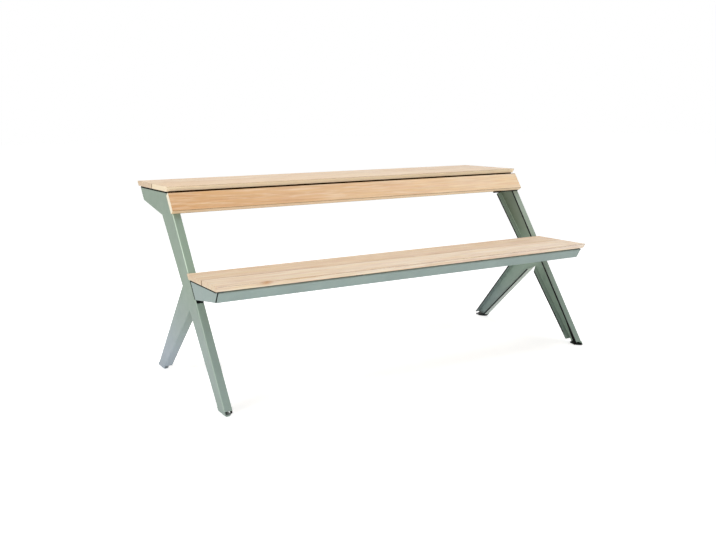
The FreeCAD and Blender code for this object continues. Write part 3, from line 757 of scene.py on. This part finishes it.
def bolts(name, axis, material, threaded=False):
    shapes = Shapes()
    for points in islands(name):
        bolt_detail(shapes, points, axis, threaded)
    shapes.piece(f"{name}_detail", material, "root", [name])


def nuts(name, axis, material):
    shapes = Shapes()
    for points in islands(name):
        centre, rows = measured(points, axis)
        corner = max(r for _, r in rows)
        bore = min(r for _, r in rows)
        low = rows[0][0]
        high = rows[-1][0]
        shapes.nut(centre + axis * low, axis, bore, corner, high - low, half_across_flats(corner))
    shapes.piece(f"{name}_detail", material, "root", [name])


def feet(plastic, black):
    """Turned glides with an eased rim, and threaded studs."""
    for name in ("front_left", "front_right", "rear_left", "rear_right"):
        low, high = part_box(f"foot_pad_{name}")
        centre = Vector(((low.x + high.x) / 2, (low.y + high.y) / 2, low.z))
        radius = (high.x - low.x) / 2
        height = high.z - low.z
        pad = Shapes()
        outline = [(height * rise, radius * share) for rise, share in GLIDE_OUTLINE]
        pad.turn(centre, UP, outline, GLIDE_SIDES)
        pad.piece(f"glide_{name}", plastic, f"foot_{name}", [f"foot_pad_{name}"])
        low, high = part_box(f"foot_stud_{name}")
        radius = (high.x - low.x) / 2
        stud = Shapes()
        base = Vector((centre.x, centre.y, low.z))
        stud.thread(base, UP, high.z - low.z, radius, radius * 0.15, FOOT_PITCH, STUD_SIDES)
        stud.piece(f"stud_{name}", black, f"foot_{name}", [f"foot_stud_{name}"])


def apron_point(steel, z):
    """Point at height z on the apron's front face, which leans in below the top of the steel."""
    return Vector((0, APRON_TOP_Y + APRON_LEAN * (steel - z), z))


def end_section(side, out, outline):
    """Section near the frame's flat side: each point is the way in from that side, and the way out."""
    return [Vector((side * (FRAME_END - inward), 0, 0)) + out * outward for inward, outward in outline]


def shade_strips(material):
    """Black strips of painted shade where limb, bracket, apron, planks and board meet, and in the flanges.
    """
    shapes = Shapes()
    for side in (-1, 1):
        bracket_shade_strips(shapes, side)
        flange_shade_strips(shapes, side)
    under_board_shade_strip(shapes)
    shapes.piece("shade_strips", material, "root")


def bracket_shade_strips(shapes, side):
    """Black strips of painted shade on one side: limb to bracket, apron to bracket, under the planks and
    under the bracket.
    """
    low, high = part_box("seat_bracket_left")
    steel = high.z
    strip_top = steel - TOP_GAP
    limb = end_section(side, LIMB_FRONT.out, LIMB_SHADE_STRIP)
    shapes.bar(limb, LIMB_FRONT.point(low.z + FOOT_GAP), LIMB_FRONT.point(strip_top))
    apron = end_section(side, APRON_OUT, APRON_SHADE_STRIP)
    shapes.bar(apron, apron_point(steel, APRON_FOLD_Z), apron_point(steel, strip_top))
    plank = end_section(side, UP, PLANK_SHADE_STRIP)
    from_limb = Vector((0, LIMB_GAP, 0))
    seat_front = Vector((0, APRON_TOP_Y + APRON_GAP, steel))
    shapes.bar(plank, seat_front, LIMB_FRONT.point(steel) - from_limb)
    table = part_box("side_frame_left")[1].z
    table_rear = Vector((0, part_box("table_rear_rail")[1].y, table))
    shapes.bar(plank, LIMB_FRONT.point(table) + from_limb, table_rear)
    corner = LIMB_FRONT.point(low.z)
    under = [corner + Vector((0, y, z)) for y, z in UNDER_BRACKET_SHADE]
    outer = Vector((side * (FRAME_END - BEND), 0, 0))
    inner = Vector((side * (FRAME_END - UNDER_BRACKET_REACH), 0, 0))
    shapes.bar(under, outer, inner)


def under_board_shade_strip(shapes):
    """Painted shadow under the board's right end, in black: a strip that hangs over the limb, and a thicker
    block beside it.
    """
    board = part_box("backrest_board")[0].z
    base = LIMB_FRONT.point(0)
    strip = [LIMB_FRONT.point(board) - base + LIMB_FRONT.out * outward + LIMB_FRONT.up * rise
             for outward, rise in UNDER_BOARD_SHADE]
    block = strip[:2] + [point - LIMB_FRONT.up * UNDER_BOARD_EXTRA for point in strip[2:]]
    change = Vector((UNDER_BOARD_STRIP_X, 0, 0)) + base
    shapes.bar(strip, change, Vector((FRAME_END - SHEET, 0, 0)) + base)
    shapes.bar(block, Vector((UNDER_BOARD_BLOCK_X, 0, 0)) + base, change)


def flange_shade_strips(shapes, side):
    """Black strips of painted shade inside the flanges of one side frame, along their sawn tips."""
    flange = FRAME_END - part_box("side_frame_right")[0].x
    under_sheet = -SHEET - CLEARANCE
    outer = flange - FRONT_SHADE_WIDTH
    inner = flange - CLEARANCE
    for face, low_z, high_z, *depths in FRONT_SHADE_STRIPS:
        strips = []
        for depth in depths:
            outline = [(inner, under_sheet), (outer, under_sheet), (outer, -depth), (inner, -depth)]
            strips.append(end_section(side, face.out, outline))
        shapes.bar(strips[0], face.point(low_z), face.point(high_z), strips[1])
    outer = flange - REAR_SHADE_WIDTH
    below = under_sheet - REAR_SHADE_THICKNESS
    outline = [(flange, under_sheet), (outer, under_sheet), (outer, below), (flange, below)]
    for face, low_z, high_z in REAR_SHADE_STRIPS:
        shapes.bar(end_section(side, face.out, outline), face.point(low_z), face.point(high_z))


def board_gap_shade_strip(material):
    """Brown-black strip of painted shade in the groove between the front table plank and the board, with
    more painted shade along the board's top edge."""
    shapes = Shapes()
    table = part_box("side_frame_left")[1].z
    groove = [Vector((0, y, z)) for y, z in TABLE_GAP_SHADE]
    across = Vector((FRAME_END - TABLE_SHADE_GAP, LIMB_FRONT.point(table).y, table))
    shapes.bar(groove, Vector((-across.x, across.y, across.z)), across)
    corner = LIMB_FRONT.point(table - BOARD_DROP) + LIMB_FRONT.out * BOARD_THICKNESS
    edge_shade = [corner + LIMB_FRONT.out * outward + LIMB_FRONT.up * rise for outward, rise in BOARD_EDGE_SHADE]
    reach = Vector((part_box("backrest_board")[1].x - BOARD_SHADE_GAP, 0, 0))
    shapes.bar(edge_shade, -reach, reach)
    shapes.piece("board_gap_shade_strip", material, "root")


def dress_steel(zinc, plastic, black):
    """Gives every steel and plastic node of the CAD its material."""
    coat = powder_coat("sage_powder_coat", SEAT_SAGE)
    slots = {"green_steel": coat, "zinc_steel": zinc, "black_plastic": plastic, "black_steel": black}
    for entry in frame["record"]["subparts"]:
        if entry["material_slot"] in slots:
            dress(entry["node"], slots[entry["material_slot"]])
    frame_coat = powder_coat("sage_frame", FRAME_SAGE, COOL_LIT_FRAME_SAGE)
    for name in ("side_frame_left", "side_frame_right"):
        dress(name, frame_coat)


def fit_fasteners(zinc, black):
    """Turned and threaded screws, bolts and nuts in the place of the plain ones."""
    bolts("seat_screws", UP, zinc)
    bolts("table_screws", UP, zinc)
    bolts("board_screws", LIMB_FRONT.out, zinc)
    bolts("bracket_bolts", LIMB_FRONT.out, zinc, True)
    bolts("apron_studs", APRON_OUT, zinc)
    bolts("rear_rail_bolts", ARM_END_IN, zinc, True)
    nuts("bracket_nuts", LIMB_FRONT.out, zinc)
    nuts("rear_rail_nuts", ARM_END_IN, zinc)
    nuts("foot_inserts", UP, black)


def dress_wood():
    for name, look in WOODS.items():
        centre = middle(name)
        behind, below = look["pith"]
        placed = dict(look, pith=(centre.y + behind, centre.z - below))
        dress(name, wood(f"wood_{name}", **placed))


def make_pieces():
    zinc = plain_metal("zinc_plate", ZINC)
    plastic = moulded("black_plastic", BLACK_PLASTIC)
    black = powder_coat("blackened_steel", BLACKENED)
    dress_steel(zinc, plastic, black)
    fit_fasteners(zinc, black)
    feet(plastic, black)
    shade_strips(shade_matt("black_shade", SHADE_BLACK))
    board_gap_shade_strip(shade_matt("brown_shade", SHADE_BROWN))
    dress_wood()


def white_world():
    """White backdrop to look at, with a weak light of its own on the bench."""
    world = bpy.data.worlds.new("studio")
    bpy.context.scene.world = world
    build = Nodes(world)
    path = build.add("ShaderNodeLightPath").outputs
    mirrored = build.math("MAXIMUM", path["Is Glossy Ray"], path["Is Transmission Ray"])
    seen = build.math("MAXIMUM", path["Is Camera Ray"], mirrored)
    ambient = build.add("ShaderNodeBackground", {"Color": WHITE, "Strength": AMBIENT_LIGHT})
    backdrop = build.add("ShaderNodeBackground", {"Color": WHITE, "Strength": BACKDROP_LIGHT})
    shader = build.add("ShaderNodeMixShader", {0: seen, 1: ambient.outputs[0], 2: backdrop.outputs[0]})
    build.output("ShaderNodeOutputWorld", shader)


def pale_floor():
    """White floor that keeps the bench's shadow. Seen directly it glows, more so far from the bench, so
    it runs into the backdrop, and it throws less of that glow back on the bench."""
    bpy.ops.mesh.primitive_plane_add(size=FLOOR_SIZE, location=(0, 0, 0))
    floor = bpy.context.object
    floor.name = "floor"
    material = bpy.data.materials.new("floor_white")
    build = Nodes(material)
    path = build.add("ShaderNodeLightPath").outputs
    seen = build.math("MAXIMUM", path["Is Camera Ray"], path["Is Glossy Ray"])
    matt = build.add("ShaderNodeBsdfDiffuse", {"Color": FLOOR_PAINT})
    distance = build.vector("LENGTH", build.place())
    strength = build.span(distance, GLOW_NEAR_REACH, GLOW_FAR_REACH, FLOOR_GLOW_NEAR, FLOOR_GLOW_FAR)
    glow = build.add("ShaderNodeEmission", {"Color": WHITE, "Strength": strength})
    both = build.add("ShaderNodeAddShader", {0: matt.outputs[0], 1: glow.outputs[0]})
    bounce = build.add("ShaderNodeEmission", {"Color": WHITE, "Strength": FLOOR_BOUNCE})
    lit = build.add("ShaderNodeAddShader", {0: matt.outputs[0], 1: bounce.outputs[0]})
    shader = build.add("ShaderNodeMixShader", {0: seen, 1: lit.outputs[0], 2: both.outputs[0]})
    build.output("ShaderNodeOutputMaterial", shader)
    floor.data.materials.append(material)


def make_lights():
    for name, (place, size, power) in LAMPS.items():
        data = bpy.data.lights.new(name, "AREA")
        data.shape = "RECTANGLE"
        data.size, data.size_y = size
        data.energy = power
        lamp = bpy.data.objects.new(name, data)
        bpy.context.scene.collection.objects.link(lamp)
        lamp.location = place
        ahead = Vector(LAMP_TARGET) - Vector(place)
        lamp.rotation_euler = ahead.to_track_quat("-Z", "Y").to_euler()


def make_camera():
    data = bpy.data.cameras.new("camera")
    data.sensor_fit = "HORIZONTAL"
    data.sensor_width = SENSOR_WIDTH
    data.lens = CAMERA_FOCAL_PIXELS / PICTURE_WIDTH * SENSOR_WIDTH
    data.clip_end = CLIP_END
    camera = bpy.data.objects.new("camera", data)
    bpy.context.scene.collection.objects.link(camera)
    ahead = Vector((
        math.sin(CAMERA_YAW) * math.cos(CAMERA_PITCH),
        math.cos(CAMERA_YAW) * math.cos(CAMERA_PITCH),
        -math.sin(CAMERA_PITCH),
    ))
    right = Vector((math.cos(CAMERA_YAW), -math.sin(CAMERA_YAW), 0))
    up = right.cross(ahead)
    rolled_right = right * math.cos(CAMERA_ROLL) + up * math.sin(CAMERA_ROLL)
    rolled_up = up * math.cos(CAMERA_ROLL) - right * math.sin(CAMERA_ROLL)
    turn = Matrix((rolled_right, rolled_up, -ahead)).transposed()
    camera.matrix_world = Matrix.Translation(CAMERA_PLACE) @ turn.to_4x4()
    bpy.context.scene.camera = camera


make_pieces()
white_world()
pale_floor()
make_lights()
make_camera()
bpy.context.scene.view_settings.view_transform = "Standard"
